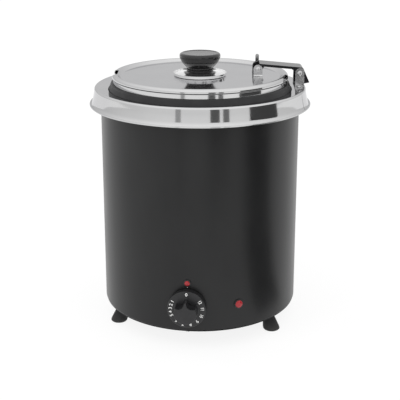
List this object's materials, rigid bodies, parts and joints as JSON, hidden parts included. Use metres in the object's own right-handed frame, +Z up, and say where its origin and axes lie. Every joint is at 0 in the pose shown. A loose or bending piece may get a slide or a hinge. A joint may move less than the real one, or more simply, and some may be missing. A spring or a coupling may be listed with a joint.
{
  "type": "soup kettle",
  "caption": "Electric soup kettle with a cylindrical casing, lift-out pot, lift-off collar, hinged lid, rotary control and splayed feet.",
  "frame": {"origin": "on the floor under the kettle's axis, between the feet", "axes": "+Z up the kettle's axis; the control knob faces -Y and the cable gland +Y"},
  "size_m": [0.285, 0.301, 0.352],
  "materials": {
    "painted_steel": "satin black powder coat",
    "stainless": "polished stainless sheet",
    "steel_strip": "stainless strip, satin",
    "zinc_steel": "zinc plated",
    "aluminium": "rolled",
    "element_steel": "heat-darkened",
    "black_phenolic": "polished phenolic",
    "black_plastic": "satin moulded",
    "seat_polymer": "heat-resistant, satin",
    "foot_rubber": "matt",
    "red_lens": "translucent red",
    "white_nylon": "natural nylon",
    "grey_nylon": "moulded nylon",
    "mineral_wool": "mineral wool",
    "brown_pvc": "wire insulation",
    "blue_pvc": "wire insulation",
    "green_pvc": "wire insulation",
    "copper": "drawn"
  },
  "bodies": {
    "base": {"outer_shell": "painted_steel", "base_plate": "painted_steel", "feet": "foot_rubber", "foot_studs": "zinc_steel", "foot_nuts": "zinc_steel", "base_screws": "zinc_steel", "well": "stainless", "heat_plate": "aluminium", "heating_element": "element_steel", "element_clips": "steel_strip", "insulation_wrap": "mineral_wool", "thermostat": "grey_nylon", "thermostat_nut": "zinc_steel", "sensor_bulb": "copper", "capillary": "copper", "power_lamp_lens": "red_lens", "power_lamp_housing": "white_nylon", "heat_lamp_lens": "red_lens", "heat_lamp_housing": "white_nylon", "gland_body": "grey_nylon", "gland_cap": "grey_nylon", "gland_nut": "grey_nylon", "terminal_block": "white_nylon", "terminal_screws": "zinc_steel", "earth_screw": "zinc_steel", "earth_nut": "zinc_steel", "earth_tag": "copper", "wire_live": "brown_pvc", "wire_load": "brown_pvc", "wire_neutral": "blue_pvc", "wire_earth": "green_pvc"},
    "control": {"control_knob": "black_plastic", "thermostat_shaft": "zinc_steel"},
    "pot": {"soup_pot": "stainless"},
    "collar": {"ring_collar": "stainless", "lid_seat_ring": "seat_polymer", "collar_ear_front": "steel_strip", "collar_ear_rear": "steel_strip", "collar_rivets": "steel_strip", "collar_pin": "steel_strip"},
    "arm": {"hinge_arm": "steel_strip"},
    "lid": {"lid_shell": "stainless", "lid_ear_front": "steel_strip", "lid_ear_rear": "steel_strip", "lid_pin": "steel_strip", "knob_dish": "stainless", "lid_knob": "black_phenolic", "knob_washer": "zinc_steel", "knob_screw": "zinc_steel"}
  },
  "joints": [
    {"name": "collar_lift", "type": "slide", "parent": "base", "child": "collar", "axis": [0, 0, 1], "range_m": [0, 0.4]},
    {"name": "pot_lift", "type": "slide", "parent": "base", "child": "pot", "axis": [0, 0, 1], "range_m": [0, 0.2]},
    {"name": "lid_hinge", "type": "hinge", "parent": "collar", "child": "arm", "pos_m": [0.12615, 0.01549, 0.3276], "axis": [-0.1219, 0.9925, 0], "range_deg": [0, 95]},
    {"name": "lid_rock", "type": "hinge", "parent": "arm", "child": "lid", "pos_m": [0.07325, 0.00899, 0.3327], "axis": [-0.1219, 0.9925, 0], "range_deg": [0, 8]},
    {"name": "knob_turn", "type": "hinge", "parent": "base", "child": "control", "pos_m": [0, -0.14, 0.0574], "axis": [0, 1, 0], "range_deg": [0, 303]}
  ],
  "couplings": [
    {"joint": "pot_lift", "follows": "collar_lift", "ratio": 0.5},
    {"joint": "lid_rock", "follows": "lid_hinge", "ratio": 0.08}
  ]
}
